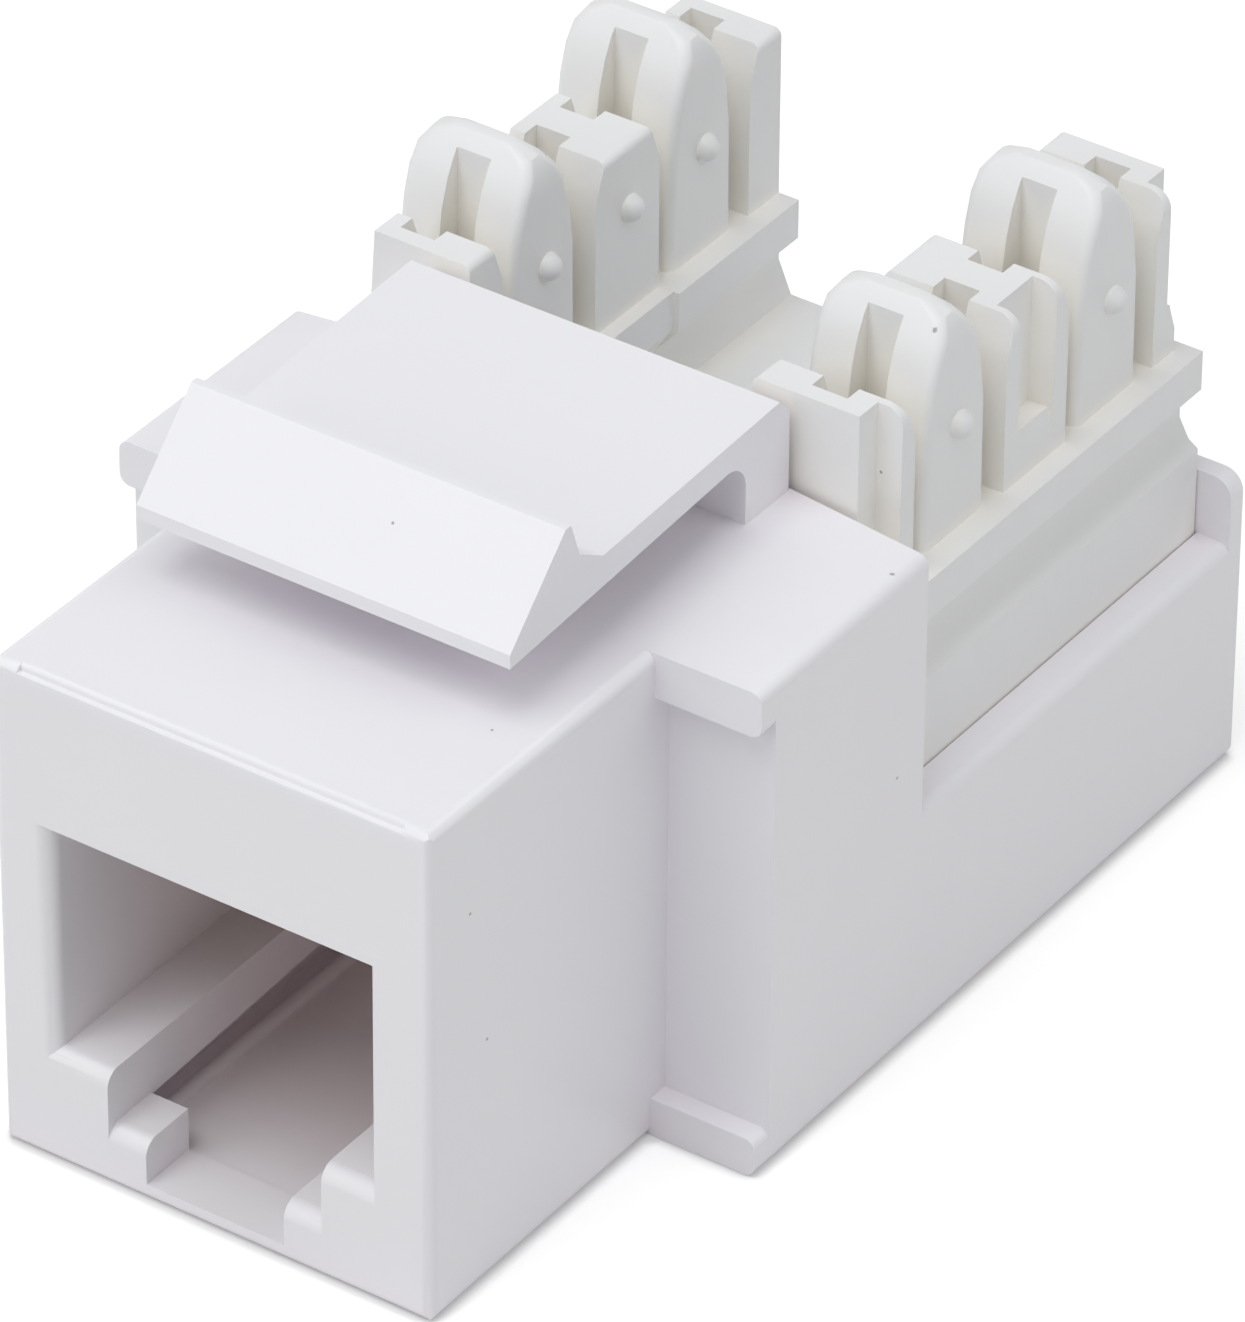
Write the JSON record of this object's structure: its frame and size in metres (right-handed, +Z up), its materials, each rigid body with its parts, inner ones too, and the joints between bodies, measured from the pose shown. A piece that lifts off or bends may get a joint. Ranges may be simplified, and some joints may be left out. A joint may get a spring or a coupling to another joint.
{
  "type": "keystone jack",
  "caption": "Snap-in wall-plate jack with a narrow plug opening, a flexing latch on top and two rows of punch-down wire slots behind.",
  "frame": {"origin": "centre of the footprint on the flat bottom", "axes": "+Z up with the latch on top, -Y towards the plug opening, +X to the right seen from the front"},
  "size_m": [0.0214, 0.0352, 0.0215],
  "materials": {
    "housing_plastic": "satin cool white moulding",
    "block_plastic": "fine matte warm white moulding",
    "carrier_plastic": "matte light grey moulding",
    "board": "smooth green laminate",
    "spring_metal": "gold-plated spring wire",
    "fork_metal": "dull phosphor bronze sheet"
  },
  "bodies": {
    "root": {"housing": "housing_plastic", "idc_block": "block_plastic", "contact_carrier": "carrier_plastic", "circuit_board": "board", "contact_spring_1": "spring_metal", "contact_spring_2": "spring_metal", "contact_spring_3": "spring_metal", "contact_spring_4": "spring_metal", "contact_spring_5": "spring_metal", "contact_spring_6": "spring_metal", "idc_contact_1": "fork_metal", "idc_contact_2": "fork_metal", "idc_contact_3": "fork_metal", "idc_contact_4": "fork_metal", "idc_contact_5": "fork_metal", "idc_contact_6": "fork_metal", "idc_contact_7": "fork_metal", "idc_contact_8": "fork_metal"}
  },
  "joints": []
}
